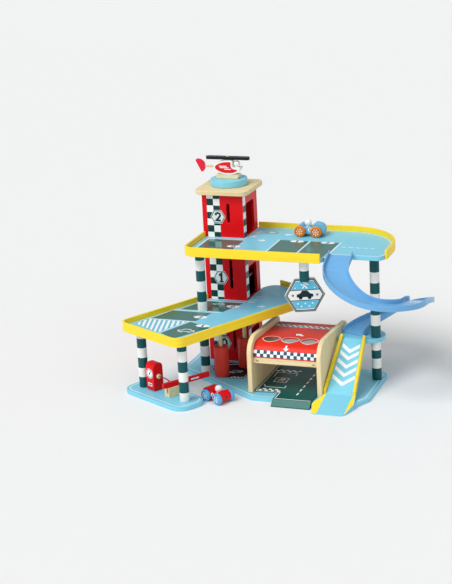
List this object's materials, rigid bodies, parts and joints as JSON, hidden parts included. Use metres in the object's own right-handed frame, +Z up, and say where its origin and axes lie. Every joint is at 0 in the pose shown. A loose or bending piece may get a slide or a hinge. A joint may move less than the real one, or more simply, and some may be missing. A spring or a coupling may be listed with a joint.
{
  "type": "toy garage",
  "caption": "Three-level painted wooden toy garage with lift tower, decks on striped pillars, workshop, car wash, barrier, spiral slide, ramp, helicopter and cars.",
  "frame": {"origin": "middle of the footprint of the whole set, on the floor", "axes": "+X to the right along the front, +Y towards the back, +Z up"},
  "size_m": [0.6268, 0.4242, 0.4541],
  "materials": {
    "bare_wood": "bare, sanded",
    "black_paint": "satin paint on wood",
    "blue_plastic": "glossy",
    "hose_red": "matt",
    "orange_paint": "satin paint on wood",
    "orange_red_paint": "satin paint on bent thin wood",
    "red_paint": "satin paint on wood",
    "road_print": "printed satin board",
    "sky_blue_paint": "satin paint on wood",
    "teal_paint": "satin paint on wood",
    "wheel_blue_paint": "satin paint on wood",
    "white_paint": "satin paint on wood",
    "yellow_paint": "satin paint on wood"
  },
  "bodies": {
    "garage": {"barrier_block": "bare_wood", "barrier_pin": "bare_wood", "base_board": "sky_blue_paint", "deck_1_board": "sky_blue_paint", "deck_1_rail": "yellow_paint", "deck_2_back_rail": "yellow_paint", "deck_2_board": "sky_blue_paint", "deck_2_front_rail": "yellow_paint", "helipad": "sky_blue_paint", "island_board": "sky_blue_paint", "landing_board": "sky_blue_paint", "pillar_front_left_lower": "teal_paint", "pillar_front_left_upper": "teal_paint", "pillar_island_back": "teal_paint", "pillar_island_front": "teal_paint", "pillar_right_lower": "teal_paint", "pillar_right_upper": "teal_paint", "pump_body": "red_paint", "pump_hose": "hose_red", "pump_nozzle": "bare_wood", "ramp_board": "sky_blue_paint", "ramp_rail_left": "yellow_paint", "ramp_rail_right": "yellow_paint", "ramp_tongue": "sky_blue_paint", "road_board": "road_print", "sign_board": "sky_blue_paint", "sign_post": "teal_paint", "slide": "blue_plastic", "tower_back": "red_paint", "tower_front": "red_paint", "tower_left": "red_paint", "tower_right": "red_paint", "tower_roof": "bare_wood", "wash_dowel_1": "bare_wood", "wash_dowel_2": "bare_wood", "workshop_back_beam": "bare_wood", "workshop_front_beam": "bare_wood", "workshop_left_side": "bare_wood", "workshop_right_side": "bare_wood", "workshop_roof": "orange_red_paint"},
    "lift": {"lift_cabin": "red_paint"},
    "near_roller": {"wash_roller_1": "red_paint"},
    "far_roller": {"wash_roller_2": "red_paint"},
    "barrier": {"barrier_arm": "red_paint"},
    "helicopter": {"helicopter_body": "white_paint", "helicopter_skid": "bare_wood", "helicopter_pilot": "white_paint", "helicopter_tail_boom": "bare_wood", "helicopter_tail_fin": "red_paint", "helicopter_rotor_pin": "bare_wood"},
    "rotor": {"helicopter_rotor": "black_paint"},
    "blue_car": {"blue_car_body": "sky_blue_paint", "blue_car_driver": "white_paint"},
    "blue_car_front_axle": {"blue_car_front_wheels": "orange_paint"},
    "blue_car_rear_axle": {"blue_car_rear_wheels": "orange_paint"},
    "red_car": {"red_car_body": "red_paint", "red_car_driver": "white_paint"},
    "red_car_front_axle": {"red_car_front_wheels": "wheel_blue_paint"},
    "red_car_rear_axle": {"red_car_rear_wheels": "wheel_blue_paint"}
  },
  "joints": [
    {"name": "lift_travel", "type": "slide", "parent": "garage", "child": "lift", "axis": [0, 0, 1], "range_m": [-0.1342, 0.1395]},
    {"name": "near_roller_spin", "type": "hinge", "parent": "garage", "child": "near_roller", "pos_m": [-0.14059, -0.00685, 0.0096], "axis": [0, 0, 1], "continuous": true},
    {"name": "far_roller_spin", "type": "hinge", "parent": "garage", "child": "far_roller", "pos_m": [-0.10959, 0.05615, 0.0096], "axis": [0, 0, 1], "continuous": true},
    {"name": "barrier_lift", "type": "hinge", "parent": "garage", "child": "barrier", "pos_m": [-0.203, -0.14496, 0.0223], "axis": [0.809, -0.5878, 0], "range_deg": [0, 55]},
    {"name": "helicopter_take_off", "type": "slide", "parent": "garage", "child": "helicopter", "axis": [0, 0, 1], "range_m": [0, 0.06]},
    {"name": "rotor_spin", "type": "hinge", "parent": "helicopter", "child": "rotor", "pos_m": [-0.15759, 0.13515, 0.44634], "axis": [0, 0, 1], "continuous": true},
    {"name": "blue_car_roll", "type": "slide", "parent": "garage", "child": "blue_car", "axis": [1, 0, 0], "range_m": [-0.09, 0.11]},
    {"name": "blue_car_front_wheel_spin", "type": "hinge", "parent": "blue_car", "child": "blue_car_front_axle", "pos_m": [0.04041, 0.13115, 0.3003], "axis": [0, 1, 0], "continuous": true},
    {"name": "blue_car_rear_wheel_spin", "type": "hinge", "parent": "blue_car", "child": "blue_car_rear_axle", "pos_m": [0.00441, 0.13115, 0.3003], "axis": [0, 1, 0], "continuous": true},
    {"name": "red_car_roll", "type": "slide", "parent": "garage", "child": "red_car", "axis": [-0.8829, 0.4695, 0], "range_m": [-0.1, 0.04]},
    {"name": "red_car_front_wheel_spin", "type": "hinge", "parent": "red_car", "child": "red_car_front_axle", "pos_m": [-0.12129, -0.1194, 0.0123], "axis": [-0.4695, -0.8829, 0], "continuous": true},
    {"name": "red_car_rear_wheel_spin", "type": "hinge", "parent": "red_car", "child": "red_car_rear_axle", "pos_m": [-0.0895, -0.1363, 0.0123], "axis": [-0.4695, -0.8829, 0], "continuous": true}
  ],
  "couplings": [
    {"joint": "blue_car_front_wheel_spin", "follows": "blue_car_roll", "rad_per_m": 83.333},
    {"joint": "blue_car_rear_wheel_spin", "follows": "blue_car_roll", "rad_per_m": 83.333},
    {"joint": "red_car_front_wheel_spin", "follows": "red_car_roll", "rad_per_m": 83.333},
    {"joint": "red_car_rear_wheel_spin", "follows": "red_car_roll", "rad_per_m": 83.333}
  ]
}
